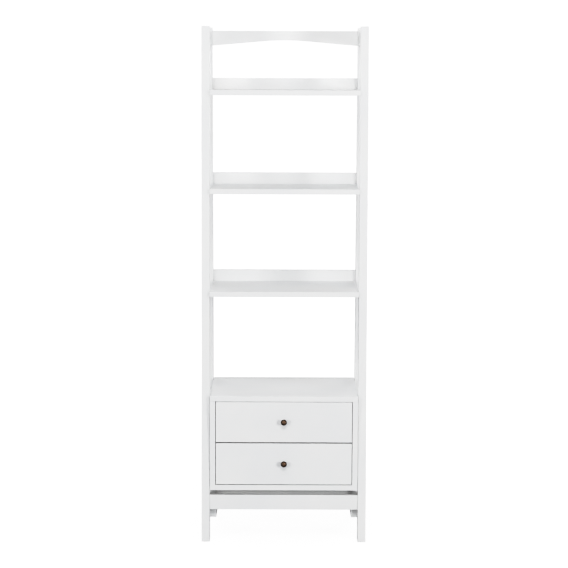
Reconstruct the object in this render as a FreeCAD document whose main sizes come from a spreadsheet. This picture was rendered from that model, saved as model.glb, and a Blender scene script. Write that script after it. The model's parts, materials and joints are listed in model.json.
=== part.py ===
import FreeCAD
import Part
import Sketcher
import math
import os

# A tall, narrow ladder shelf: two side frames of raked legs, three open shelves with low back
# rails, an arched rail at the top, and a cabinet with two drawers on metal runners near the floor.
# X runs from left to right, Y from the front to the back, Z up. The origin is on the floor, in the
# middle of the footprint. All lengths are in millimetres.

DRIVING = {
    # side frames
    "overall_height": 1905,
    "inner_width": 550,
    "foot_depth": 445,
    "leg_width": 30,
    "leg_depth": 50,
    "front_lean": 75,
    "rear_lean": 75,
    "leg_edge": 1.5,
    "glide_thickness": 2,
    "glide_radius": 11,
    "board_edge": 1,
    # rails at the top
    "top_rail_drop": 12,
    "top_rail_height": 55.5,
    "top_rail_thickness": 19,
    "top_rail_flank_run": 179,
    "top_rail_flank_rise": 15.8,
    "top_rail_crown_rise": 4.7,
    "side_rail_thickness": 24,
    # shelves
    "upper_shelf_level": 1673,
    "middle_shelf_level": 1313,
    "lower_shelf_level": 936,
    "shelf_thickness": 19,
    "shelf_overhang": 12,
    "back_rail_thickness": 19,
    "back_rail_lip": 43,
    # base of the cabinet
    "lower_rail_level": 122.5,
    "lower_rail_height": 55,
    "lower_rail_thickness": 20,
    "lower_rail_setback": 4,
    "support_rail_level": 88.5,
    "support_rail_thickness": 24,
    "support_rail_drop": 20,
    "cleat_setback": 56,
    "cleat_thickness": 19,
    # cabinet
    "cabinet_width": 548,
    "cabinet_depth": 418,
    "cabinet_level": 196,
    "cabinet_height": 354,
    "cabinet_board": 20,
    "cabinet_setback": 6,
    "back_panel_thickness": 6,
    "back_panel_inset": 10,
    "groove_depth": 8,
    # drawers
    "front_gap_below": 2.5,
    "front_gap_between": 4,
    "front_gap_above": 1.5,
    "front_gap_beside": 2,
    "front_thickness": 18,
    "lower_front_height": 155,
    "box_length": 350,
    "box_height": 110,
    "box_board": 12,
    "box_raise": 9.5,
    "box_bottom_thickness": 6,
    "box_bottom_raise": 10,
    "box_groove": 6,
    # knobs
    "knob_projection": 24,
    "knob_diameter": 22.5,
    "knob_neck_diameter": 9.5,
    "knob_base_diameter": 15,
    "knob_base_thickness": 1.5,
    "knob_base_cove": 3,
    "knob_dome": 4.5,
    "knob_rim_thickness": 2.2,
    "knob_rim_rise": 0.7,
    "knob_head_cove": 4.4,
    "knob_flare": 0.8,
    "knob_raise": 3,
    # runners: three nested channels on each side of a drawer
    "runner_thickness": 12.7,
    "runner_gauge": 1.2,
    "runner_outer_height": 45,
    "runner_middle_height": 38,
    "runner_inner_height": 28,
    "runner_outer_reach": 9,
    "runner_middle_reach": 8.1,
    "runner_middle_offset": 2.2,
    "runner_inner_reach": 8.2,
    # dowels and screws
    "dowel_radius": 4,
    "dowel_length": 30,
    "rail_dowel_share": 0.28,
    "cabinet_dowel_share": 0.12,
    "shelf_dowel_spacing": 183,
    "screw_radius": 2.25,
    "screw_head_radius": 4.5,
    "screw_head_height": 2.5,
    "rail_screw_length": 40,
    "rail_screw_share": 0.25,
    "front_screw_length": 25,
    "front_screw_spacing": 306,
    "front_screw_low_share": 0.3,
    "front_screw_high_share": 0.75,
    "bolt_radius": 3,
    "bolt_head_radius": 5.5,
    "bolt_head_height": 3,
    "bolt_length": 46,
    "lower_bolt_share": 0.42,
    "upper_bolt_share": 0.91,
    "rear_bolt_shift": 5,
    "knob_screw_radius": 2,
    "knob_screw_grip": 10,
}

document = FreeCAD.newDocument("LadderShelf")


def make_sheet():
    """Write the driving dimensions to a spreadsheet, one named cell each."""
    sheet = document.addObject("Spreadsheet::Sheet", "Dimensions")
    for row, (alias, millimetres) in enumerate(DRIVING.items(), start=1):
        sheet.set(f"A{row}", alias)
        sheet.set(f"B{row}", str(millimetres))
        sheet.setAlias(f"B{row}", alias)
    document.recompute()


class Size:
    """A length: the expression that gives it from the spreadsheet, and its present value."""

    def __init__(self, text, value):
        self.text = text
        self.value = value

    def join(self, sign, other, value):
        return Size(f"({self.text} {sign} {other.text})", value)

    def __add__(self, other):
        other = as_size(other)
        return self.join("+", other, self.value + other.value)

    def __sub__(self, other):
        other = as_size(other)
        return self.join("-", other, self.value - other.value)

    def __mul__(self, other):
        other = as_size(other)
        return self.join("*", other, self.value * other.value)

    def __truediv__(self, other):
        other = as_size(other)
        return self.join("/", other, self.value / other.value)

    def __neg__(self):
        return Size(f"(0 - {self.text})", -self.value)

    def root(self):
        return Size(f"sqrt({self.text})", math.sqrt(self.value))


def as_size(number):
    """Let a plain number stand where a Size is expected."""
    return number if isinstance(number, Size) else Size(str(number), float(number))


class Driving:
    """The driving dimensions, each a Size that refers to its cell."""

    def __getattr__(self, alias):
        return Size(f"Dimensions.{alias}", DRIVING[alias])


D = Driving()
SIDES = {"left": -1, "right": 1}
PIECES = {}

# Y of the front feet's front faces: the knobs stand proud of the feet, and the footprint with the
# knobs is centred on the origin.
FRONT = (D.knob_projection - D.cabinet_setback - D.foot_depth) / 2
HALF_INNER = D.inner_width / 2
LEG_HEIGHT = D.overall_height - D.glide_thickness


def front_leg_face(height):
    """Y of the front legs' front faces at a height."""
    return FRONT + D.front_lean * (height / D.overall_height)


def rear_leg_face(height):
    """Y of the rear legs' front faces at a height."""
    return FRONT + D.foot_depth - D.leg_depth - D.rear_lean * (height / D.overall_height)


def bind(item, name, size):
    """Tie a property to the spreadsheet."""
    item.setExpression(name, as_size(size).text)


def place(item, x, y, z, rotation=None):
    """Put an object at a place that follows the spreadsheet."""
    if rotation is not None:
        item.Placement = FreeCAD.Placement(FreeCAD.Vector(), rotation)
    for axis, size in zip("xyz", (x, y, z)):
        bind(item, f"Placement.Base.{axis}", size)


def both_ends(share):
    """A share of a length measured from one end, and the same from the other."""
    return share, as_size(1) - share


def keep(piece, label):
    """Give a finished sub-part its name."""
    piece.Label = label
    PIECES[label] = piece
    return piece


def low_x(side, inner, thickness):
    """Lowest x of a piece whose inner face is the distance inner from the middle."""
    return as_size(inner) if side == "right" else -(as_size(inner) + thickness)


# ---------------------------------------------------------------- sketches and bodies

def new_sketch(body, role, name):
    """A sketch on one of its own body's origin planes."""
    plane = next(item for item in body.Origin.OriginFeatures if item.Role == role)
    sketch = body.newObject("Sketcher::SketchObject", name)
    sketch.AttachmentSupport = [(plane, "")]
    sketch.MapMode = "FlatFace"
    return sketch


def hold_point(sketch, edge, end, axis, size):
    """Fix one coordinate of an edge's end from the sketch's origin."""
    if size.value == 0:
        across = {"X": -2, "Y": -1}[axis]
        sketch.addConstraint(Sketcher.Constraint("PointOnObject", edge, end, across))
        return
    rule = Sketcher.Constraint(f"Distance{axis}", -1, 1, edge, end, size.value)
    index = sketch.addConstraint(rule)
    bind(sketch, f"Constraints[{index}]", size)


def outline(sketch, corners):
    """Draw a closed outline through corners (x, y), or (x, y, rise) where the edge that leaves the
    corner is an arc standing that far out to its right, with every size tied to the spreadsheet."""
    corners = [[as_size(size) for size in corner] for corner in corners]
    points = [FreeCAD.Vector(corner[0].value, corner[1].value, 0) for corner in corners]
    starts = []
    for index, corner in enumerate(corners):
        start = points[index]
        end = points[(index + 1) % len(points)]
        if len(corner) == 2:
            sketch.addGeometry(Part.LineSegment(start, end))
        else:
            along = end - start
            outward = FreeCAD.Vector(along.y, -along.x, 0).normalize()
            sketch.addGeometry(Part.Arc(start, (start + end) / 2 + outward * corner[2].value, end))
        starts.append(1 if sketch.getPoint(index, 1).isEqual(start, 1e-6) else 2)
    for index, corner in enumerate(corners):
        following = (index + 1) % len(corners)
        end = 3 - starts[index]
        sketch.addConstraint(
            Sketcher.Constraint("Coincident", index, end, following, starts[following]))
        hold_point(sketch, index, starts[index], "X", corner[0])
        hold_point(sketch, index, starts[index], "Y", corner[1])
        if len(corner) == 3:
            hold_radius(sketch, index, corner, corners[following])


def hold_radius(sketch, edge, corner, following):
    """Fix an arc's radius from its chord and its rise."""
    run = following[0] - corner[0]
    climb = following[1] - corner[1]
    rise = corner[2] if corner[2].value > 0 else -corner[2]
    radius = ((run * run + climb * climb) / 4 + rise * rise) / (rise * 2)
    index = sketch.addConstraint(Sketcher.Constraint("Radius", edge, radius.value))
    bind(sketch, f"Constraints[{index}]", radius)


def padded_body(name, role, corners, length, backwards=False):
    """A body padded from one outline."""
    body = document.addObject("PartDesign::Body", f"{name}_body")
    sketch = new_sketch(body, role, f"{name}_outline")
    outline(sketch, corners)
    pad = body.newObject("PartDesign::Pad", f"{name}_pad")
    pad.Profile = sketch
    pad.Reversed = backwards
    bind(pad, "Length", length)
    sketch.Visibility = False
    return body


def ease(body, radius):
    """Round every edge of a body a little."""
    base = body.Tip
    document.recompute()
    fillet = body.newObject("PartDesign::Fillet", f"{body.Name}_edges")
    fillet.Base = (base, ["Edge1"])
    fillet.UseAllEdges = True
    bind(fillet, "Radius", radius)


def board(name, size, corner, edge=None):
    """A rectangular board of a size (x, y, z) with its lowest corner at a place."""
    width, depth, height = size
    corners = [(0, 0), (width, 0), (width, depth), (0, depth)]
    body = padded_body(name, "XY_Plane", corners, height)
    if edge is not None:
        ease(body, edge)
    place(body, *corner)
    return body


def bored(piece, label, *fasteners):
    """Cut the seats of fasteners or panels out of a piece and keep what is left."""
    for number, fastener in enumerate(fasteners, start=1):
        cut = document.addObject("Part::Cut", f"{label}_cut_{number}")
        cut.Base = piece
        cut.Tool = fastener
        cut.Refine = False
        piece = cut
    return keep(piece, label)


# ---------------------------------------------------------------- dowels and screws

ALONG = {
    "+x": FreeCAD.Rotation(FreeCAD.Vector(0, 1, 0), 90),
    "-x": FreeCAD.Rotation(FreeCAD.Vector(0, 1, 0), -90),
    "+y": FreeCAD.Rotation(FreeCAD.Vector(1, 0, 0), -90),
    "-y": FreeCAD.Rotation(FreeCAD.Vector(1, 0, 0), 90),
    "+z": FreeCAD.Rotation(),
}


def dowel(axis, x, y, z):
    """A round wooden pin with its middle at a place."""
    pin = document.addObject("Part::Cylinder", "dowel")
    bind(pin, "Radius", D.dowel_radius)
    bind(pin, "Height", D.dowel_length)
    back = -(D.dowel_length / 2)
    shift = {"+x": (back, 0, 0), "+y": (0, back, 0), "+z": (0, 0, back)}[axis]
    centre = [as_size(size) + offset for size, offset in zip((x, y, z), shift)]
    place(pin, *centre, rotation=ALONG[axis])
    return pin


def screw(axis, x, y, z, length, radius, head_radius, head_height):
    """A countersunk screw that runs along an axis from the middle of its head's flat face."""
    head = document.addObject("Part::Cone", "screw_head")
    bind(head, "Radius1", head_radius)
    bind(head, "Radius2", radius)
    bind(head, "Height", head_height)
    shank = document.addObject("Part::Cylinder", "screw_shank")
    bind(shank, "Radius", radius)
    bind(shank, "Height", length)
    whole = document.addObject("Part::Fuse", "screw")
    whole.Base = head
    whole.Tool = shank
    place(whole, x, y, z, rotation=ALONG[axis])
    return whole


def group(label, members):
    """Identical pieces kept together as separate solids."""
    gathered = document.addObject("Part::Compound", label)
    gathered.Links = members
    return keep(gathered, label)


# ---------------------------------------------------------------- side frames

def leg_blank(name, side, corners, y):
    """A raked leg, square cut at both ends."""
    body = padded_body(name, "YZ_Plane", corners, D.leg_width)
    ease(body, D.leg_edge)
    place(body, low_x(side, HALF_INNER, D.leg_width), y, D.glide_thickness)
    return body


def make_legs(fasteners):
    """Front legs lean back and rear legs lean forward as they rise."""
    front = [
        (0, 0),
        (D.leg_depth, 0),
        (D.leg_depth + D.front_lean, LEG_HEIGHT),
        (D.front_lean, LEG_HEIGHT),
    ]
    rear = [
        (D.rear_lean, 0),
        (D.rear_lean + D.leg_depth, 0),
        (D.leg_depth, LEG_HEIGHT),
        (0, LEG_HEIGHT),
    ]
    rear_y = FRONT + D.foot_depth - D.leg_depth - D.rear_lean
    for side in SIDES:
        for name, corners, y in (("front", front, FRONT), ("rear", rear, rear_y)):
            blank = leg_blank(f"{name}_leg_{side}_blank", side, corners, y)
            bored(blank, f"{name}_leg_{side}", *fasteners)


def make_glides():
    """A round plastic glide under each foot."""
    glides = []
    middle_y = (
        FRONT + D.leg_depth / 2,
        FRONT + D.foot_depth - D.leg_depth / 2,
    )
    for sign in SIDES.values():
        for y in middle_y:
            glide = document.addObject("Part::Cylinder", "glide")
            bind(glide, "Radius", D.glide_radius)
            bind(glide, "Height", D.glide_thickness)
            place(glide, (HALF_INNER + D.leg_width / 2) * sign, y, 0)
            glides.append(glide)
    group("floor_glides", glides)


TOP_RAIL_BOTTOM = D.overall_height - D.top_rail_drop - D.top_rail_height
TOP_RAIL_Y = rear_leg_face(TOP_RAIL_BOTTOM + D.top_rail_height / 2) \
    + (D.leg_depth - D.top_rail_thickness) / 2


def make_top_side_rails(fasteners):
    """Short rails that join each front leg to its rear leg, with ends cut to the legs' rake."""
    low = TOP_RAIL_BOTTOM
    high = TOP_RAIL_BOTTOM + D.top_rail_height
    origin_y = front_leg_face(low) + D.leg_depth
    corners = [
        (0, 0),
        (rear_leg_face(low) - origin_y, 0),
        (rear_leg_face(high) - origin_y, D.top_rail_height),
        (front_leg_face(high) + D.leg_depth - origin_y, D.top_rail_height),
    ]
    inner = HALF_INNER + (D.leg_width - D.side_rail_thickness) / 2
    for side in SIDES:
        name = f"top_side_rail_{side}"
        body = padded_body(f"{name}_blank", "YZ_Plane", corners, D.side_rail_thickness)
        ease(body, D.board_edge)
        place(body, low_x(side, inner, D.side_rail_thickness), origin_y, low)
        bored(body, name, *fasteners)


def make_arched_top_rail(fasteners):
    """The rail across the back at the top: straight above, and below it rises in a straight flank
    from each end to a shallow curve in the middle."""
    corners = [
        (0, D.top_rail_height),
        (0, 0),
        (D.top_rail_flank_run, D.top_rail_flank_rise, -D.top_rail_crown_rise),
        (D.inner_width - D.top_rail_flank_run, D.top_rail_flank_rise),
        (D.inner_width, 0),
        (D.inner_width, D.top_rail_height),
    ]
    body = padded_body("arched_top_rail_blank", "XZ_Plane", corners, D.top_rail_thickness,
                       backwards=True)
    ease(body, D.board_edge)
    place(body, -HALF_INNER, TOP_RAIL_Y, TOP_RAIL_BOTTOM)
    bored(body, "arched_top_rail", *fasteners)


# ---------------------------------------------------------------- shelves

SHELVES = {
    "upper": D.upper_shelf_level,
    "middle": D.middle_shelf_level,
    "lower": D.lower_shelf_level,
}


def back_rail_y(level):
    """Y of the front face of a shelf's back rail, which stands mid-way in the rear legs."""
    return rear_leg_face(level) + (D.leg_depth - D.back_rail_thickness) / 2


def make_shelves(fasteners):
    """Each shelf stands a little in front of the front legs and ends at its back rail."""
    for name, level in SHELVES.items():
        front = front_leg_face(level) - D.shelf_overhang
        depth = back_rail_y(level) - front
        bottom = level - D.shelf_thickness
        shelf = board(
            f"{name}_shelf_blank",
            (D.inner_width, depth, D.shelf_thickness),
            (-HALF_INNER, front, bottom),
            D.board_edge)
        bored(shelf, f"{name}_shelf", *fasteners)
        rail = board(
            f"{name}_shelf_back_rail_blank",
            (D.inner_width, D.back_rail_thickness, D.shelf_thickness + D.back_rail_lip),
            (-HALF_INNER, back_rail_y(level), bottom),
            D.board_edge)
        bored(rail, f"{name}_shelf_back_rail", *fasteners)


def make_shelf_dowels():
    """Dowels from the shelves and their back rails into the legs, and from shelf to back rail."""
    dowels = []
    for level in SHELVES.values():
        low = level - D.shelf_thickness / 2
        high = level + D.back_rail_lip / 2
        rail_middle = back_rail_y(level) + D.back_rail_thickness / 2
        for sign in SIDES.values():
            x = HALF_INNER * sign
            dowels.append(dowel("+x", x, front_leg_face(level) + D.leg_depth / 2, low))
            dowels.append(dowel("+x", x, rail_middle, low))
            dowels.append(dowel("+x", x, rail_middle, high))
        for step in (-1, 0, 1):
            dowels.append(dowel("+y", D.shelf_dowel_spacing * step, back_rail_y(level), low))
    return group("shelf_dowels", dowels)


# ---------------------------------------------------------------- base under the cabinet

LOWER_RAIL_Y = front_leg_face(D.lower_rail_level + D.lower_rail_height / 2) + D.lower_rail_setback
SUPPORT_RAIL_Y = LOWER_RAIL_Y + D.lower_rail_thickness
SUPPORT_RAIL_HEIGHT = D.cabinet_level - D.support_rail_drop - D.support_rail_level
REAR_RAIL_Z = D.cabinet_level - D.support_rail_drop - D.lower_rail_height
REAR_RAIL_HEIGHT = D.lower_rail_height + D.support_rail_drop
REAR_RAIL_Y = rear_leg_face(REAR_RAIL_Z) + (D.leg_depth - D.lower_rail_thickness) / 2
SUPPORT_RAIL_END = REAR_RAIL_Y + D.lower_rail_thickness
HALF_BASE = HALF_INNER - D.support_rail_thickness


def make_base_rails(dowels, screws):
    """The front rail in sight, and the sub-frame behind it that carries the cabinet: a rear rail
    and a front cleat, which stand a little above the support rails that join them."""
    front = board(
        "front_lower_rail_blank",
        (D.inner_width, D.lower_rail_thickness, D.lower_rail_height),
        (-HALF_INNER, LOWER_RAIL_Y, D.lower_rail_level),
        D.board_edge)
    bored(front, "front_lower_rail", dowels)
    across = HALF_BASE * 2
    rear = board(
        "rear_lower_rail_blank",
        (across, D.lower_rail_thickness, REAR_RAIL_HEIGHT),
        (-HALF_BASE, REAR_RAIL_Y, REAR_RAIL_Z),
        D.board_edge)
    bored(rear, "rear_lower_rail", dowels)
    cleat = board(
        "front_cleat_blank",
        (across, D.cleat_thickness, REAR_RAIL_HEIGHT),
        (-HALF_BASE, FRONT + D.cleat_setback, REAR_RAIL_Z),
        D.board_edge)
    bored(cleat, "front_cleat", dowels)
    for side in SIDES:
        rail = board(
            f"support_rail_{side}_blank",
            (D.support_rail_thickness, SUPPORT_RAIL_END - SUPPORT_RAIL_Y, SUPPORT_RAIL_HEIGHT),
            (low_x(side, HALF_BASE, D.support_rail_thickness), SUPPORT_RAIL_Y,
             D.support_rail_level),
            D.board_edge)
        bored(rail, f"support_rail_{side}", dowels, screws)


def make_frame_dowels():
    """Dowels at the ends of every rail but the back rails of the shelves."""
    dowels = []
    top_y = TOP_RAIL_Y + D.top_rail_thickness / 2
    lower_y = LOWER_RAIL_Y + D.lower_rail_thickness / 2
    rear_y = REAR_RAIL_Y + D.lower_rail_thickness / 2
    cleat_y = FRONT + D.cleat_setback + D.cleat_thickness / 2
    for sign in SIDES.values():
        at_leg = HALF_INNER * sign
        at_support = HALF_BASE * sign
        in_leg = (HALF_INNER + D.leg_width / 2) * sign
        for share in both_ends(D.rail_dowel_share):
            top_z = TOP_RAIL_BOTTOM + D.top_rail_height * share
            rear_z = REAR_RAIL_Z + D.lower_rail_height * share
            front_z = D.lower_rail_level + D.lower_rail_height * share
            dowels.append(dowel("+x", at_leg, top_y, top_z))
            dowels.append(dowel("+x", at_leg, lower_y, front_z))
            dowels.append(dowel("+x", at_support, rear_y, rear_z))
            dowels.append(dowel("+x", at_support, cleat_y, rear_z))
            dowels.append(dowel("+y", in_leg, front_leg_face(top_z) + D.leg_depth, top_z))
            dowels.append(dowel("+y", in_leg, rear_leg_face(top_z), top_z))
    return group("frame_dowels", dowels)


def make_support_rail_screws():
    """Screws from inside through the support rails into the legs, two at each leg."""
    screws = []
    front_y = (SUPPORT_RAIL_Y + FRONT + D.leg_depth) / 2
    rear_y = (FRONT + D.foot_depth - D.leg_depth + SUPPORT_RAIL_END) / 2
    for sign, axis in ((-1, "-x"), (1, "+x")):
        for y in (front_y, rear_y):
            for share in both_ends(D.rail_screw_share):
                z = D.support_rail_level + SUPPORT_RAIL_HEIGHT * share
                screws.append(screw(axis, HALF_BASE * sign, y, z, D.rail_screw_length,
                                    D.screw_radius, D.screw_head_radius, D.screw_head_height))
    return group("support_rail_screws", screws)


# ---------------------------------------------------------------- cabinet

CABINET_Y = FRONT + D.cabinet_setback
OPENING_WIDTH = D.cabinet_width - D.cabinet_board * 2
OPENING_HEIGHT = D.cabinet_height - D.cabinet_board * 2
OPENING_BOTTOM = D.cabinet_level + D.cabinet_board
OPENING_TOP = OPENING_BOTTOM + OPENING_HEIGHT


def make_cabinet(dowels, bolts):
    """A plain box open at the front, with its back panel in grooves."""
    panel = keep(
        board(
            "cabinet_back_panel",
            (OPENING_WIDTH + D.groove_depth * 2, D.back_panel_thickness,
             OPENING_HEIGHT + D.groove_depth * 2),
            (-(OPENING_WIDTH / 2 + D.groove_depth),
             CABINET_Y + D.cabinet_depth - D.back_panel_inset - D.back_panel_thickness,
             OPENING_BOTTOM - D.groove_depth)),
        "cabinet_back_panel")
    for label, z in (("cabinet_bottom", D.cabinet_level), ("cabinet_top", OPENING_TOP)):
        level_board = board(
            f"{label}_blank",
            (D.cabinet_width, D.cabinet_depth, D.cabinet_board),
            (-(D.cabinet_width / 2), CABINET_Y, z),
            D.board_edge)
        bored(level_board, label, panel, dowels)
    for side in SIDES:
        upright = board(
            f"cabinet_side_{side}_blank",
            (D.cabinet_board, D.cabinet_depth, OPENING_HEIGHT),
            (low_x(side, OPENING_WIDTH / 2, D.cabinet_board), CABINET_Y, OPENING_BOTTOM))
        bored(upright, f"cabinet_side_{side}", panel, dowels, bolts)


def make_cabinet_dowels():
    """Upright dowels that join the cabinet's sides to its top and bottom."""
    dowels = []
    rows = [CABINET_Y + D.cabinet_depth * share for share in both_ends(D.cabinet_dowel_share)]
    rows.append(CABINET_Y + D.cabinet_depth / 2)
    for sign in SIDES.values():
        x = (D.cabinet_width - D.cabinet_board) / 2 * sign
        for y in rows:
            dowels.append(dowel("+z", x, y, OPENING_BOTTOM))
            dowels.append(dowel("+z", x, y, OPENING_TOP))
    return group("cabinet_dowels", dowels)


def make_cabinet_bolts():
    """Bolts from inside the cabinet into the legs, clear of the runners."""
    bolts = []
    for sign, axis in ((-1, "-x"), (1, "+x")):
        for share in (D.lower_bolt_share, D.upper_bolt_share):
            z = OPENING_BOTTOM + OPENING_HEIGHT * share
            for y in (front_leg_face(z), rear_leg_face(z) - D.rear_bolt_shift):
                bolts.append(screw(axis, OPENING_WIDTH / 2 * sign, y + D.leg_depth / 2, z,
                                   D.bolt_length, D.bolt_radius, D.bolt_head_radius,
                                   D.bolt_head_height))
    return group("cabinet_bolts", bolts)


# ---------------------------------------------------------------- drawers

BOX_WIDTH = OPENING_WIDTH - D.runner_thickness * 2
BOX_INNER = BOX_WIDTH - D.box_board * 2
BOX_Y = CABINET_Y + D.front_thickness
LOWER_FRONT_Z = OPENING_BOTTOM + D.front_gap_below
UPPER_FRONT_Z = LOWER_FRONT_Z + D.lower_front_height + D.front_gap_between
DRAWERS = {
    "lower": (LOWER_FRONT_Z, D.lower_front_height),
    "upper": (UPPER_FRONT_Z, OPENING_TOP - D.front_gap_above - UPPER_FRONT_Z),
}


def make_front_screws(drawer, box_z):
    """Screws from inside the box into the drawer's front."""
    screws = []
    for sign in SIDES.values():
        for share in (D.front_screw_low_share, D.front_screw_high_share):
            screws.append(screw("-y", D.front_screw_spacing / 2 * sign, BOX_Y + D.box_board,
                                box_z + D.box_height * share, D.front_screw_length,
                                D.screw_radius, D.screw_head_radius, D.screw_head_height))
    return group(f"{drawer}_drawer_front_screws", screws)


def make_knob_screw(drawer, z):
    """The screw that reaches through the box and the front into the knob."""
    length = D.box_board + D.front_thickness + D.knob_screw_grip
    return keep(screw("-y", 0, BOX_Y + D.box_board, z, length, D.knob_screw_radius,
                      D.screw_head_radius, D.screw_head_height),
                f"{drawer}_drawer_knob_screw")


def make_knob(drawer, z, knob_screw):
    """A round turned knob: domed head, narrow neck and a small round base."""
    head = D.knob_diameter / 2 - D.knob_rim_rise
    neck = D.knob_neck_diameter / 2
    base = D.knob_base_diameter / 2
    reach = D.knob_projection
    dome = D.knob_dome
    chord_squared = head * head + dome * dome
    dome_radius = chord_squared / (dome * 2)
    dome_rise = dome_radius - (dome_radius * dome_radius - chord_squared / 4).root()
    rim = dome + D.knob_rim_thickness
    body = document.addObject("PartDesign::Body", f"{drawer}_drawer_knob_body")
    sketch = new_sketch(body, "YZ_Plane", f"{drawer}_drawer_knob_outline")
    outline(sketch, [
        (0, 0),
        (reach, 0),
        (reach, base),
        (reach - D.knob_base_thickness, base, -D.knob_flare),
        (reach - D.knob_base_thickness - D.knob_base_cove, neck),
        (rim + D.knob_head_cove, neck, -D.knob_flare),
        (rim, head, D.knob_rim_rise),
        (dome, head, dome_rise),
    ])
    turn = body.newObject("PartDesign::Revolution", f"{drawer}_drawer_knob_turned")
    turn.Profile = sketch
    turn.ReferenceAxis = (sketch, ["H_Axis"])
    turn.Angle = 360
    place(body, 0, CABINET_Y - D.knob_projection, z)
    bored(body, f"{drawer}_drawer_knob", knob_screw)


def make_drawer(drawer, front_z, front_height):
    """One drawer: a box of plain boards, a front and a knob."""
    box_z = front_z + D.box_raise
    knob_z = front_z + front_height / 2 + D.knob_raise
    front_screws = make_front_screws(drawer, box_z)
    knob_screw = make_knob_screw(drawer, knob_z)
    make_knob(drawer, knob_z, knob_screw)
    front_width = OPENING_WIDTH - D.front_gap_beside * 2
    front = board(
        f"{drawer}_drawer_front_blank",
        (front_width, D.front_thickness, front_height),
        (-(front_width / 2), CABINET_Y, front_z),
        D.board_edge)
    bored(front, f"{drawer}_drawer_front", front_screws, knob_screw)
    bottom = keep(
        board(
            f"{drawer}_drawer_bottom",
            (BOX_INNER + D.box_groove * 2, D.box_length - (D.box_board - D.box_groove) * 2,
             D.box_bottom_thickness),
            (-(BOX_INNER / 2 + D.box_groove), BOX_Y + D.box_board - D.box_groove,
             box_z + D.box_bottom_raise)),
        f"{drawer}_drawer_bottom")
    box_front = board(
        f"{drawer}_drawer_box_front_blank",
        (BOX_INNER, D.box_board, D.box_height),
        (-(BOX_INNER / 2), BOX_Y, box_z))
    bored(box_front, f"{drawer}_drawer_box_front", bottom, front_screws, knob_screw)
    box_back = board(
        f"{drawer}_drawer_box_back_blank",
        (BOX_INNER, D.box_board, D.box_height),
        (-(BOX_INNER / 2), BOX_Y + D.box_length - D.box_board, box_z))
    bored(box_back, f"{drawer}_drawer_box_back", bottom)
    for side in SIDES:
        box_side = board(
            f"{drawer}_drawer_side_{side}_blank",
            (D.box_board, D.box_length, D.box_height),
            (low_x(side, BOX_INNER / 2, D.box_board), BOX_Y, box_z))
        bored(box_side, f"{drawer}_drawer_side_{side}", bottom)
        make_runner(drawer, side, box_z + D.box_height / 2)


def channel(reach, height, faces_inward):
    """Section of a folded steel channel, open towards the middle or towards the wall, drawn for
    the right side of the cabinet."""
    gauge = D.runner_gauge
    corners = [
        (0, 0),
        (reach, 0),
        (reach, height),
        (0, height),
        (0, height - gauge),
        (reach - gauge, height - gauge),
        (reach - gauge, gauge),
        (0, gauge),
    ]
    return corners if faces_inward else mirrored(corners, reach)


def mirrored(corners, width):
    """The same outline turned left for right."""
    return [(as_size(width) - x, y) for x, y in corners]


def make_runner(drawer, side, middle_z):
    """Three nested channels: on the cabinet, between, and on the drawer. They pull out fully."""
    wall = OPENING_WIDTH / 2
    middle_near = wall - D.runner_middle_offset - D.runner_middle_reach
    members = (
        ("cabinet", D.runner_outer_reach, D.runner_outer_height, True,
         wall - D.runner_outer_reach),
        ("middle", D.runner_middle_reach, D.runner_middle_height, True, middle_near),
        ("drawer", D.runner_inner_reach, D.runner_inner_height, False,
         wall - D.runner_thickness),
    )
    for member, reach, height, faces_inward, near in members:
        label = f"{drawer}_runner_{member}_{side}"
        corners = channel(reach, height, faces_inward)
        if side == "left":
            corners = mirrored(corners, reach)
        body = padded_body(label, "XZ_Plane", corners, D.box_length, backwards=True)
        place(body, low_x(side, near, reach), BOX_Y, middle_z - height / 2)
        keep(body, label)


# ---------------------------------------------------------------- the whole part

def check_and_write():
    """Refuse a failed object, then write one STEP file for each sub-part."""
    document.recompute()
    failed = [item.Label for item in document.Objects
              if {"Invalid", "Error"} & set(item.State)]
    if failed:
        raise RuntimeError(f"objects failed: {failed}")
    for label, piece in PIECES.items():
        shape = piece.Shape
        if shape.isNull() or not shape.isValid() or not shape.Solids:
            raise RuntimeError(f"bad shape: {label}")
    os.makedirs("parts", exist_ok=True)
    for label, piece in PIECES.items():
        piece.Shape.exportStep(f"parts/{label}.step")
    print(len(PIECES), "sub-parts written")


def main():
    make_sheet()
    shelf_dowels = make_shelf_dowels()
    frame_dowels = make_frame_dowels()
    rail_screws = make_support_rail_screws()
    cabinet_dowels = make_cabinet_dowels()
    cabinet_bolts = make_cabinet_bolts()
    make_legs((shelf_dowels, frame_dowels, rail_screws, cabinet_bolts))
    make_glides()
    make_top_side_rails((frame_dowels,))
    make_arched_top_rail((frame_dowels,))
    make_shelves((shelf_dowels,))
    make_base_rails(frame_dowels, rail_screws)
    make_cabinet(cabinet_dowels, cabinet_bolts)
    for drawer, (front_z, front_height) in DRAWERS.items():
        make_drawer(drawer, front_z, front_height)
    check_and_write()


main()
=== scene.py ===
import json
import math

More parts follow.
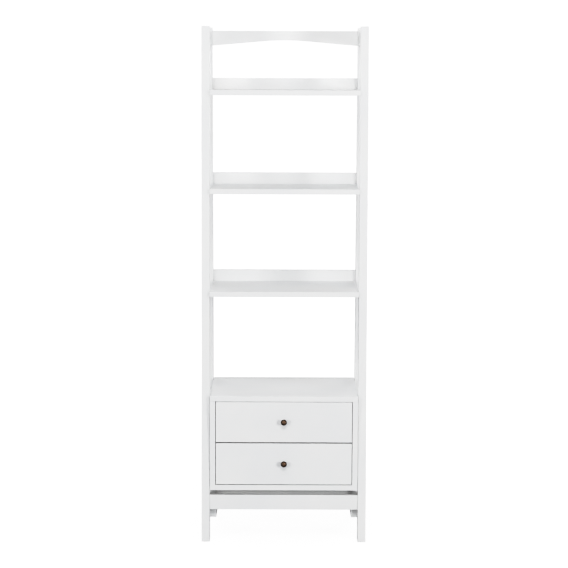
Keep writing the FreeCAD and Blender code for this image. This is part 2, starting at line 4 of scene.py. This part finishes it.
import bmesh
import bpy
from mathutils import Euler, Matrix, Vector


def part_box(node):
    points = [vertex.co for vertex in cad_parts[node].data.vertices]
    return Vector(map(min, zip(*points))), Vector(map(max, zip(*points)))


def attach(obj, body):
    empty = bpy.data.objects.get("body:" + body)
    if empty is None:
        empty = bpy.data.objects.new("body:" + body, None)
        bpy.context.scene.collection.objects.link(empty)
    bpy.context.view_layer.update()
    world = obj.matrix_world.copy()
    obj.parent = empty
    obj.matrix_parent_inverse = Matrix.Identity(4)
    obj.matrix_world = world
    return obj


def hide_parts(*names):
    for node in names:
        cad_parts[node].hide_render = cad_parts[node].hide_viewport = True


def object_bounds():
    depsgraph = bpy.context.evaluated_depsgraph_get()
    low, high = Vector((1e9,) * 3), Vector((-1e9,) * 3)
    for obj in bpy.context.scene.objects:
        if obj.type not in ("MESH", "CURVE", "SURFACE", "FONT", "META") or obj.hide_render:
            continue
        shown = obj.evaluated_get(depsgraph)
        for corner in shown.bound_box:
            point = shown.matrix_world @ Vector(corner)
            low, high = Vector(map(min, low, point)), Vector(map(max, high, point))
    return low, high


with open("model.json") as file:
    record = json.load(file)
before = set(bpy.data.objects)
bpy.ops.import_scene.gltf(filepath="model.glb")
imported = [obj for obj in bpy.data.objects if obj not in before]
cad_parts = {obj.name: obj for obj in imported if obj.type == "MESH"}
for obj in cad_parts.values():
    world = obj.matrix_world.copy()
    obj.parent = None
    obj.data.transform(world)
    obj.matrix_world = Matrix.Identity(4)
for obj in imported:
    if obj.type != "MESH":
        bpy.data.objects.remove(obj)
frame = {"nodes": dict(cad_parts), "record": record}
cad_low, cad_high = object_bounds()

# The looks of a white painted ladder shelf: a material for every CAD node, finer turned knobs, a
# white studio floor and backdrop, softboxes, a tone curve and the camera. Everything is in metres,
# in the frame of the CAD model.

MILLIMETRE = 0.001
WHITE = (1.0, 1.0, 1.0, 1.0)
AXES = {"x": 0, "y": 1, "z": 2}
DRAWERS = ("upper", "lower")
SLOTS = {part["node"]: part["material_slot"] for part in frame["record"]["subparts"]}


# ---------------------------------------------------------------- node building

# Added to each piece's coordinates, times a number of its own.
PIECE_SHIFT = (7.3, 3.1, 5.7)

# Cosine of the turn from a face's own normal to the rounded one, where an edge starts to show and
# where it shows fully.
EDGE_STARTS, EDGE_IS_FULL = 0.995, 0.86

# Openness to the surroundings at which the painted shade in gaps starts, and at which it is full.
SHADE_STARTS, SHADE_IS_FULL = 0.45, 0.08


def add_node(tree, kind, inputs=None, **settings):
    """A shader node with its settings, and its inputs set or linked by name or number."""
    node = tree.nodes.new(kind)
    for name, value in settings.items():
        setattr(node, name, value)
    for name, value in (inputs or {}).items():
        if isinstance(value, bpy.types.NodeSocket):
            tree.links.new(value, node.inputs[name])
        else:
            node.inputs[name].default_value = value
    return node


def new_material(name):
    """An empty node material with its shader linked, and the shader."""
    material = bpy.data.materials.new(name)
    material.use_nodes = True
    tree = material.node_tree
    tree.nodes.clear()
    shader = add_node(tree, "ShaderNodeBsdfPrincipled")
    add_node(tree, "ShaderNodeOutputMaterial", {"Surface": shader.outputs["BSDF"]})
    return material, tree, shader


def object_coordinates(tree):
    """Coordinates fixed to the piece, shifted so that no two pieces share a pattern."""
    place = add_node(tree, "ShaderNodeTexCoord").outputs["Object"]
    chance = add_node(tree, "ShaderNodeObjectInfo").outputs["Random"]
    shift = add_node(tree, "ShaderNodeVectorMath", {0: PIECE_SHIFT, "Scale": chance},
                     operation="SCALE").outputs[0]
    return add_node(tree, "ShaderNodeVectorMath", {0: place, 1: shift}, operation="ADD").outputs[0]


def stretched(tree, vector, scale):
    """Coordinates scaled by a different amount along each axis."""
    return add_node(tree, "ShaderNodeVectorMath", {0: vector, 1: scale},
                    operation="MULTIPLY").outputs[0]


def along_grain(tree, vector, axis, squeeze):
    """Coordinates squeezed along the grain, so that a pattern is drawn out that way."""
    scale = [1.0, 1.0, 1.0]
    scale[AXES[axis]] = squeeze
    return stretched(tree, vector, tuple(scale))


def noise(tree, vector, scale, detail=3.0, roughness=0.5):
    """Soft noise from 0 to 1, with the scale in patches to a metre."""
    return add_node(tree, "ShaderNodeTexNoise",
                    {"Vector": vector, "Scale": scale, "Detail": detail,
                     "Roughness": roughness}).outputs["Fac"]


def spread(tree, value, low, high, to_low=0.0, to_high=1.0):
    """A value mapped from one range to another, and held inside it."""
    return add_node(tree, "ShaderNodeMapRange",
                    {"Value": value, "From Min": low, "From Max": high,
                     "To Min": to_low, "To Max": to_high}).outputs["Result"]


def mix_colour(tree, share, first, second):
    """The first colour where the share is 0, turning to the second where it is 1."""
    node = add_node(tree, "ShaderNodeMix", data_type="RGBA")
    for name, value in (("Factor", share), ("A", first), ("B", second)):
        socket = next(item for item in node.inputs if item.name == name and item.enabled)
        if isinstance(value, bpy.types.NodeSocket):
            tree.links.new(value, socket)
        else:
            socket.default_value = (*value, 1.0)
    return next(socket for socket in node.outputs if socket.enabled)


def arithmetic(tree, operation, first, second):
    """One sum, product or maximum of two values."""
    return add_node(tree, "ShaderNodeMath", {0: first, 1: second},
                    operation=operation).outputs[0]


def bumped(tree, height, depth, below=None):
    """A bump of a depth in metres, on top of another bump if one is given."""
    inputs = {"Height": height, "Distance": depth, "Strength": 1.0}
    if below is not None:
        inputs["Normal"] = below
    return add_node(tree, "ShaderNodeBump", inputs).outputs["Normal"]


def edge_share(tree, radius):
    """1 along outside edges and corners and 0 on open faces."""
    rounded = add_node(tree, "ShaderNodeBevel", {"Radius": radius}, samples=4).outputs[0]
    flat = add_node(tree, "ShaderNodeNewGeometry").outputs["True Normal"]
    turn = add_node(tree, "ShaderNodeVectorMath", {0: rounded, 1: flat},
                    operation="DOT_PRODUCT").outputs["Value"]
    return spread(tree, turn, EDGE_STARTS, EDGE_IS_FULL)


def crevice_shade_share(tree, reach):
    """Share of painted shade: 1 deep in gaps and under ledges, and 0 on open faces and in plain
    corners.
    """
    openness = add_node(tree, "ShaderNodeAmbientOcclusion", {"Distance": reach},
                        samples=6).outputs["AO"]
    return spread(tree, openness, SHADE_STARTS, SHADE_IS_FULL)


# ---------------------------------------------------------------- materials

PAINT_COOL = (0.800, 0.810, 0.818)
PAINT_WARM = (0.845, 0.845, 0.840)
PAINT_VEIN = (0.750, 0.748, 0.738)
PAINT_WORN = (0.66, 0.645, 0.615)
# Painted shade: a dark colour mixed into the paint deep in gaps and under ledges, where shade falls.
PAINT_SHADE = (0.33, 0.32, 0.30)
PAINT_SHADE_SHARE = 0.42
PAINT_SHADE_REACH = 60 * MILLIMETRE
PAINT_EDGE = 1.6 * MILLIMETRE

WOOD_EDGE = 0.8 * MILLIMETRE
WOOD_EDGE_SHARE = 0.35
RING_BEND = 9.0

BRONZE_DARK = (0.026, 0.014, 0.008)
BRONZE_PALE = (0.066, 0.038, 0.022)
BRONZE_RUBBED = (0.270, 0.165, 0.105)
BRONZE_RIM = 0.5 * MILLIMETRE
BRONZE_RIM_SHARE = 0.5
FORWARD = (0.0, -1.0, 0.0)

STEEL_EDGE = 0.4 * MILLIMETRE
STEEL_EDGE_SHARE = 0.4
STEEL_EDGE_COLOUR = (0.30, 0.30, 0.31)
STEEL_DARKENING = 0.72

PLASTIC_PALE = (0.60, 0.60, 0.58)
PLASTIC_SCUFFED = (0.42, 0.41, 0.39)


def white_paint(axis):
    """Satin white paint over wood: faint brushing and grain along the board, orange peel, edges
    where the paint is thinner and rubbed, and painted shade that darkens the colour deep in the
    gaps."""
    material, tree, shader = new_material(f"white_paint_{axis}")
    place = object_coordinates(tree)
    fibres = along_grain(tree, place, axis, squeeze=0.035)
    cloudy = noise(tree, place, scale=4.0, detail=4.0)
    grain = noise(tree, fibres, scale=210.0, detail=5.0, roughness=0.62)
    brushed = noise(tree, fibres, scale=620.0, detail=2.0)
    peel = noise(tree, place, scale=950.0, detail=2.0)
    rubbed = noise(tree, place, scale=90.0, detail=4.0, roughness=0.6)

    body = mix_colour(tree, spread(tree, cloudy, 0.35, 0.65), PAINT_COOL, PAINT_WARM)
    veins = spread(tree, grain, 0.58, 0.74, to_low=0.0, to_high=0.30)
    veined = mix_colour(tree, veins, body, PAINT_VEIN)
    worn = arithmetic(tree, "MULTIPLY", edge_share(tree, PAINT_EDGE),
                      spread(tree, rubbed, 0.47, 0.62, to_low=0.12, to_high=0.5))
    rubbed_paint = mix_colour(tree, worn, veined, PAINT_WORN)
    # Painted shade: the paint colour is darkened deep in gaps and under ledges.
    painted_shade = arithmetic(tree, "MULTIPLY", crevice_shade_share(tree, PAINT_SHADE_REACH),
                       PAINT_SHADE_SHARE)
    tree.links.new(mix_colour(tree, painted_shade, rubbed_paint, PAINT_SHADE),
                   shader.inputs["Base Color"])

    gloss = arithmetic(tree, "ADD", spread(tree, cloudy, 0.3, 0.7, to_low=0.27, to_high=0.36),
                       spread(tree, brushed, 0.3, 0.7, to_low=0.0, to_high=0.07))
    tree.links.new(gloss, shader.inputs["Roughness"])
    shader.inputs["Specular IOR Level"].default_value = 0.5
    surface = bumped(tree, grain, 0.16 * MILLIMETRE)
    surface = bumped(tree, brushed, 0.05 * MILLIMETRE, surface)
    surface = bumped(tree, peel, 0.04 * MILLIMETRE, surface)
    tree.links.new(surface, shader.inputs["Normal"])
    return material


def bare_wood(name, axis, pale, dark, pore):
    """Wood with growth rings drawn out along the board, fine pores and rubbed edges."""
    material, tree, shader = new_material(f"{name}_{axis}")
    place = object_coordinates(tree)
    fibres = along_grain(tree, place, axis, squeeze=0.045)
    bend = noise(tree, along_grain(tree, place, axis, squeeze=0.25), scale=9.0, detail=2.0)
    rings = add_node(
        tree, "ShaderNodeTexWave",
        {"Vector": fibres, "Scale": 17.0, "Distortion": 9.0, "Detail": 4.0, "Detail Scale": 1.1,
         "Phase Offset": arithmetic(tree, "MULTIPLY", bend, RING_BEND)},
        wave_type="BANDS", bands_direction="DIAGONAL").outputs["Fac"]
    streaks = noise(tree, fibres, scale=260.0, detail=5.0, roughness=0.65)
    pores = noise(tree, along_grain(tree, place, axis, squeeze=0.02), scale=1500.0, detail=2.0)

    ringed = spread(tree, rings, 0.1, 0.9, to_low=0.05, to_high=0.62)
    toned = mix_colour(tree, ringed, pale, dark)
    streaky = spread(tree, streaks, 0.45, 0.75, to_low=0.0, to_high=0.55)
    streaked = mix_colour(tree, streaky, toned, dark)
    porous = spread(tree, pores, 0.6, 0.72, to_low=0.0, to_high=0.6)
    pitted = mix_colour(tree, porous, streaked, pore)
    rubbed = arithmetic(tree, "MULTIPLY", edge_share(tree, WOOD_EDGE), WOOD_EDGE_SHARE)
    tree.links.new(mix_colour(tree, rubbed, pitted, dark), shader.inputs["Base Color"])

    tree.links.new(spread(tree, streaks, 0.3, 0.7, to_low=0.38, to_high=0.55),
                   shader.inputs["Roughness"])
    surface = bumped(tree, pores, 0.06 * MILLIMETRE)
    surface = bumped(tree, streaks, 0.08 * MILLIMETRE, surface)
    tree.links.new(surface, shader.inputs["Normal"])
    return material


def drawer_wood(axis):
    """Lacquered wood of the drawer boxes."""
    return bare_wood("drawer_wood", axis, pale=(0.66, 0.50, 0.32), dark=(0.50, 0.34, 0.19),
                     pore=(0.30, 0.19, 0.10))


def beech(axis):
    """Bare beech of the dowels."""
    return bare_wood("beech", axis, pale=(0.58, 0.40, 0.24), dark=(0.45, 0.29, 0.16),
                     pore=(0.28, 0.17, 0.09))


def aged_bronze():
    """Dark patina, rubbed to a lighter brown on the crown of the dome and along its rim."""
    material, tree, shader = new_material("aged_bronze")
    place = object_coordinates(tree)
    mottle = noise(tree, place, scale=320.0, detail=5.0, roughness=0.6)
    fine = noise(tree, place, scale=1400.0, detail=3.0)

    facing = add_node(tree, "ShaderNodeNewGeometry").outputs["Normal"]
    forward = add_node(tree, "ShaderNodeVectorMath", {0: facing, 1: FORWARD},
                       operation="DOT_PRODUCT").outputs["Value"]
    crown = spread(tree, forward, 0.80, 1.0)
    rubbed = arithmetic(tree, "MULTIPLY", crown,
                        spread(tree, mottle, 0.30, 0.60, to_low=0.35, to_high=1.0))
    rim = arithmetic(tree, "MULTIPLY", edge_share(tree, BRONZE_RIM), BRONZE_RIM_SHARE)
    bright = arithmetic(tree, "MAXIMUM", rubbed, rim)
    patina = mix_colour(tree, spread(tree, mottle, 0.35, 0.65), BRONZE_DARK, BRONZE_PALE)
    tree.links.new(mix_colour(tree, bright, patina, BRONZE_RUBBED), shader.inputs["Base Color"])

    shader.inputs["Metallic"].default_value = 0.85
    tree.links.new(spread(tree, mottle, 0.3, 0.7, to_low=0.34, to_high=0.52),
                   shader.inputs["Roughness"])
    surface = bumped(tree, mottle, 0.08 * MILLIMETRE)
    surface = bumped(tree, fine, 0.02 * MILLIMETRE, surface)
    tree.links.new(surface, shader.inputs["Normal"])
    return material


def zinc_steel(name, tint, axis):
    """Rolled steel with zinc plate: fine lines along the metal, cloudy lustre and darker edges."""
    material, tree, shader = new_material(name)
    place = object_coordinates(tree)
    lines = noise(tree, along_grain(tree, place, axis, squeeze=0.02), scale=1800.0, detail=3.0)
    lustre = noise(tree, place, scale=60.0, detail=4.0, roughness=0.6)

    dark = tuple(channel * STEEL_DARKENING for channel in tint)
    toned = mix_colour(tree, spread(tree, lustre, 0.3, 0.7), dark, tint)
    edges = arithmetic(tree, "MULTIPLY", edge_share(tree, STEEL_EDGE), STEEL_EDGE_SHARE)
    tree.links.new(mix_colour(tree, edges, toned, STEEL_EDGE_COLOUR),
                   shader.inputs["Base Color"])

    shader.inputs["Metallic"].default_value = 1.0
    gloss = arithmetic(tree, "ADD", spread(tree, lustre, 0.3, 0.7, to_low=0.24, to_high=0.38),
                       spread(tree, lines, 0.3, 0.7, to_low=0.0, to_high=0.10))
    tree.links.new(gloss, shader.inputs["Roughness"])
    tree.links.new(bumped(tree, lines, 0.02 * MILLIMETRE), shader.inputs["Normal"])
    return material


def runner_steel():
    """Steel of the drawer runners, rolled along their length."""
    return zinc_steel("runner_steel", tint=(0.66, 0.67, 0.69), axis="y")


def screw_steel():
    """Duller steel of the screws and bolts."""
    return zinc_steel("screw_steel", tint=(0.55, 0.55, 0.57), axis="x")


def glide_plastic():
    """Pale matt plastic with a fine moulded texture and scuffs from the floor."""
    material, tree, shader = new_material("glide_plastic")
    place = object_coordinates(tree)
    texture = noise(tree, place, scale=1600.0, detail=2.0)
    scuffs = noise(tree, stretched(tree, place, (1.0, 6.0, 1.0)), scale=140.0, detail=4.0,
                   roughness=0.7)
    scuffed = spread(tree, scuffs, 0.5, 0.7, to_low=0.0, to_high=0.5)
    tree.links.new(mix_colour(tree, scuffed, PLASTIC_PALE, PLASTIC_SCUFFED),
                   shader.inputs["Base Color"])
    tree.links.new(spread(tree, scuffs, 0.3, 0.7, to_low=0.45, to_high=0.65),
                   shader.inputs["Roughness"])
    tree.links.new(bumped(tree, texture, 0.03 * MILLIMETRE), shader.inputs["Normal"])
    return material


# ---------------------------------------------------------------- the CAD nodes

GRAINED = {"white_paint": white_paint, "drawer_wood": drawer_wood, "beech": beech}
UNGRAINED = {
    "aged_bronze": aged_bronze,
    "runner_steel": runner_steel,
    "screw_steel": screw_steel,
    "glide_plastic": glide_plastic,
}


def long_axis(node):
    """The axis along which a node is longest, which is the way its grain runs."""
    low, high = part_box(node)
    size = high - low
    return max(AXES, key=lambda axis: size[AXES[axis]])


def dress_nodes():
    """Give every CAD node the material of its slot, with any grain along the piece."""
    made = {}
    for name, piece in frame["nodes"].items():
        slot = SLOTS[name]
        axis = long_axis(name) if slot in GRAINED else None
        if (slot, axis) not in made:
            made[slot, axis] = GRAINED[slot](axis) if slot in GRAINED else UNGRAINED[slot]()
        piece.data.materials.clear()
        piece.data.materials.append(made[slot, axis])
        for face in piece.data.polygons:
            face.material_index = 0


# ---------------------------------------------------------------- knobs

KNOB_SEGMENTS = 72

# Stations of a knob's profile: the distance behind its front as a share of its reach, and the
# radius as a share of the head's. The crown is domed from a small flat tip to its own station.
KNOB_TIP = 0.5 * MILLIMETRE
KNOB_CROWN = (0.20, 0.93)
KNOB_CROWN_BULGE = -0.055
KNOB_CROWN_STEPS = 14

# Behind the crown: each stretch's last station, how far it is hollowed (or bulges, below zero) as a
# share of the head's radius, and its steps.
KNOB_STRETCHES = {
    "rim": ((0.28, 0.93), -0.065, 6),
    "back of the head": ((0.47, 0.44), 0.08, 8),
    "neck": ((0.84, 0.48), 0.035, 8),
    "hollow above the base": ((0.90, 0.62), 0.03, 4),
    "rounded edge of the base": ((0.985, 0.665), -0.03, 5),
}


def new_object(name, data):
    """An object linked to the scene."""
    piece = bpy.data.objects.new(name, data)
    bpy.context.scene.collection.objects.link(piece)
    return piece


def to_mesh(name, form):
    """Turn a built form into a mesh."""
    mesh = bpy.data.meshes.new(name)
    form.to_mesh(mesh)
    form.free()
    return mesh


def lathe(name, profile, segments):
    """A closed turned shape: profile points (distance behind the front, radius), turned about an
    axis along y. The first and last points are on the axis."""
    form = bmesh.new()
    front = form.verts.new((0.0, profile[0][0], 0.0))
    back = form.verts.new((0.0, profile[-1][0], 0.0))
    rings = []
    for depth, radius in profile[1:-1]:
        ring = []
        for step in range(segments):
            angle = 2 * math.pi * step / segments
            ring.append(form.verts.new(
                (radius * math.cos(angle), depth, radius * math.sin(angle))))
        rings.append(ring)
    for step in range(segments):
        following = (step + 1) % segments
        form.faces.new((front, rings[0][step], rings[0][following]))
        form.faces.new((back, rings[-1][following], rings[-1][step]))
        for inner, outer in zip(rings, rings[1:]):
            form.faces.new((inner[step], outer[step], outer[following], inner[following]))
    bmesh.ops.recalc_face_normals(form, faces=form.faces)
    mesh = to_mesh(name, form)
    for face in mesh.polygons:
        face.use_smooth = True
    return new_object(name, mesh)


def curved_stretch(start, end, hollow, steps):
    """Points from start to end along a parabola that leaves its chord by the hollow, to the right
    of the way it runs."""
    start, end = Vector(start), Vector(end)
    chord = end - start
    sideways = Vector((chord.y, -chord.x)).normalized()
    points = []
    for step in range(steps + 1):
        share = step / steps
        points.append(start + chord * share + sideways * hollow * 4 * share * (1 - share))
    return [tuple(point) for point in points]


def knob_profile(reach, head):
    """The profile of a knob of a reach and a head radius, from its tip to the middle of its base."""
    def at(station):
        return reach * station[0], head * station[1]

    profile = [(0.0, 0.0)]
    profile += curved_stretch((0.0, KNOB_TIP), at(KNOB_CROWN), reach * KNOB_CROWN_BULGE,
                              KNOB_CROWN_STEPS)
    station = KNOB_CROWN
    for following, hollow, steps in KNOB_STRETCHES.values():
        profile += curved_stretch(at(station), at(following), head * hollow, steps)[1:]
        station = following
    profile += [(reach, head * station[1]), (reach, 0.0)]
    return profile


def make_knobs():
    """Turned knobs with a domed head, a rolled rim, a waisted neck and a stepped base."""
    for drawer in DRAWERS:
        node = f"{drawer}_drawer_knob"
        low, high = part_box(node)
        profile = knob_profile(high.y - low.y, (high.x - low.x) / 2)
        knob = lathe(f"{drawer}_knob", profile, KNOB_SEGMENTS)
        knob.location = ((low.x + high.x) / 2, low.y, (low.z + high.z) / 2)
        knob.data.materials.append(frame["nodes"][node].data.materials[0])
        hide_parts(node)
        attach(knob, f"{drawer}_drawer")


# ---------------------------------------------------------------- stage, light and camera

STAGE_REACH = 30.0
DOME_RADIUS = STAGE_REACH * 0.95
DOME_GLOW = 1.5
SKY_COLOUR = (0.985, 0.99, 1.0, 1.0)
SKY_STRENGTH = 0.32

# Distance from the middle at which the floor's glow starts to grow, and at which it is full.
GLOW_STARTS, GLOW_IS_FULL = 0.8, 5.0

# Softboxes: place, width and height in metres, and power in watts.
SOFTBOXES = {
    "key_left": ((-3.9, -4.6, 1.45), (1.0, 1.3), 78.0),
    "key_right": ((3.9, -4.6, 1.45), (1.0, 1.3), 116.0),
    "high_front": ((0.0, -5.2, 5.5), (3.0, 2.0), 155.0),
    "overhead": ((0.0, -3.0, 5.6), (2.4, 1.6), 22.0),
    "side_left": ((-4.6, -0.6, 1.6), (2.0, 2.4), 24.0),
    "side_right": ((4.6, -0.6, 1.6), (2.0, 2.4), 18.0),
    "back_left": ((-2.4, 4.8, 2.1), (1.8, 2.0), 74.0),
    "back_right": ((2.4, 4.8, 2.1), (1.8, 2.0), 74.0),
    "back_low": ((0.0, 5.2, 1.5), (2.6, 1.5), 6.0),
}

# Height that the softboxes are aimed at, as a share of the object's.
AIM_SHARE = 0.55

VIEW_DISTANCE = 6.4
EYE_SIDE = -0.0013
EYE_HEIGHT = 1.745
LENS = 111.71
SENSOR = 36.0
PITCH_DOWN = math.radians(6.912)
ROLL = math.radians(0.19)

# Tone curve: scene brightness to picture brightness. It rolls the whites off gently, as film does.
TONE = ((0.0, 0.0), (0.12, 0.10), (0.35, 0.37), (0.6, 0.70), (0.72, 0.785), (0.85, 0.845),
        (1.05, 0.93), (1.4, 1.0))
COMBINED_CURVE = 3


def floor_sheet(name, height, tones, near_glow, far_glow):
    """A level sheet with a slight unevenness of tone and a glow that grows away from the middle."""
    form = bmesh.new()
    bmesh.ops.create_grid(form, x_segments=1, y_segments=1, size=STAGE_REACH)
    sheet = new_object(name, to_mesh(name, form))
    sheet.location.z = height
    material, tree, shader = new_material(name)
    place = add_node(tree, "ShaderNodeTexCoord").outputs["Object"]
    dark, pale = tones
    tree.links.new(mix_colour(tree, noise(tree, place, scale=1.5), (dark,) * 3, (pale,) * 3),
                   shader.inputs["Base Color"])
    shader.inputs["Roughness"].default_value = 0.9
    shader.inputs["Specular IOR Level"].default_value = 0.1
    shader.inputs["Emission Color"].default_value = WHITE
    away = add_node(tree, "ShaderNodeVectorMath", {0: place}, operation="LENGTH").outputs["Value"]
    tree.links.new(spread(tree, away, GLOW_STARTS, GLOW_IS_FULL, near_glow, far_glow),
                   shader.inputs["Emission Strength"])
    sheet.data.materials.append(material)
    return sheet


def make_floor():
    """A plain white floor in two sheets: the upper one is seen, and glows so that only the softest
    shadows show on it; the lower one throws light back up at the object."""
    seen = floor_sheet("studio_floor", cad_low.z, tones=(0.33, 0.36), near_glow=1.14,
                       far_glow=1.6)
    seen.visible_diffuse = False
    seen.visible_glossy = False
    bounce = floor_sheet("studio_floor_bounce", cad_low.z - MILLIMETRE, tones=(0.52, 0.56),
                         near_glow=0.0, far_glow=0.0)
    bounce.visible_camera = False


def make_backdrop():
    """A white dome all round, which is seen but gives no light of its own."""
    form = bmesh.new()
    bmesh.ops.create_icosphere(form, subdivisions=4, radius=DOME_RADIUS)
    bmesh.ops.reverse_faces(form, faces=form.faces)
    dome = new_object("studio_backdrop", to_mesh("studio_backdrop", form))
    material = bpy.data.materials.new("studio_backdrop")
    material.use_nodes = True
    tree = material.node_tree
    tree.nodes.clear()
    glow = add_node(tree, "ShaderNodeEmission", {"Color": WHITE, "Strength": DOME_GLOW})
    add_node(tree, "ShaderNodeOutputMaterial", {"Surface": glow.outputs["Emission"]})
    dome.data.materials.append(material)
    for ray in ("diffuse", "glossy", "transmission", "volume_scatter", "shadow"):
        setattr(dome, f"visible_{ray}", False)


def make_world():
    """An even, soft surround."""
    world = bpy.data.worlds.new("studio")
    bpy.context.scene.world = world
    world.use_nodes = True
    sky = world.node_tree.nodes["Background"]
    sky.inputs["Color"].default_value = SKY_COLOUR
    sky.inputs["Strength"].default_value = SKY_STRENGTH


def make_lights():
    """Softboxes in front on both sides and high up, and weaker ones at the sides and behind, all
    aimed at the middle of the object. The one on the right is the stronger key, so the shadows of
    the cabinet and the shelf edges fall on the left legs."""
    middle = Vector((0.0, 0.0, cad_high.z * AIM_SHARE))
    for name, (place, size, power) in SOFTBOXES.items():
        lamp = bpy.data.lights.new(name, "AREA")
        lamp.shape = "RECTANGLE"
        lamp.size, lamp.size_y = size
        lamp.energy = power
        light = new_object(name, lamp)
        light.location = place
        light.rotation_euler = (middle - Vector(place)).to_track_quat("-Z", "Y").to_euler()
        light.visible_camera = False


def make_camera():
    """The eye stands a little above the upper shelf, straight in front, and looks a little down."""
    feet_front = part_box("front_leg_left")[0].y
    data = bpy.data.cameras.new("camera")
    data.sensor_width = SENSOR
    data.lens = LENS
    camera = new_object("camera", data)
    camera.location = (EYE_SIDE, feet_front - VIEW_DISTANCE, EYE_HEIGHT)
    level = Euler((math.radians(90) - PITCH_DOWN, 0.0, 0.0)).to_matrix()
    tilt = Euler((0.0, 0.0, ROLL)).to_matrix()
    camera.rotation_euler = (level @ tilt).to_euler()
    bpy.context.scene.camera = camera


def set_tone():
    """Plain display colours with a soft shoulder."""
    view = bpy.context.scene.view_settings
    view.view_transform = "Standard"
    view.use_curve_mapping = True
    mapping = view.curve_mapping
    brightest = TONE[-1][0]
    mapping.white_level = (brightest, brightest, brightest)
    curve = mapping.curves[COMBINED_CURVE]
    for scene_level, picture_level in TONE[1:-1]:
        curve.points.new(scene_level / brightest, picture_level)
    mapping.update()


def main():
    make_camera()
    dress_nodes()
    make_knobs()
    make_floor()
    make_backdrop()
    make_world()
    make_lights()
    set_tone()


main()
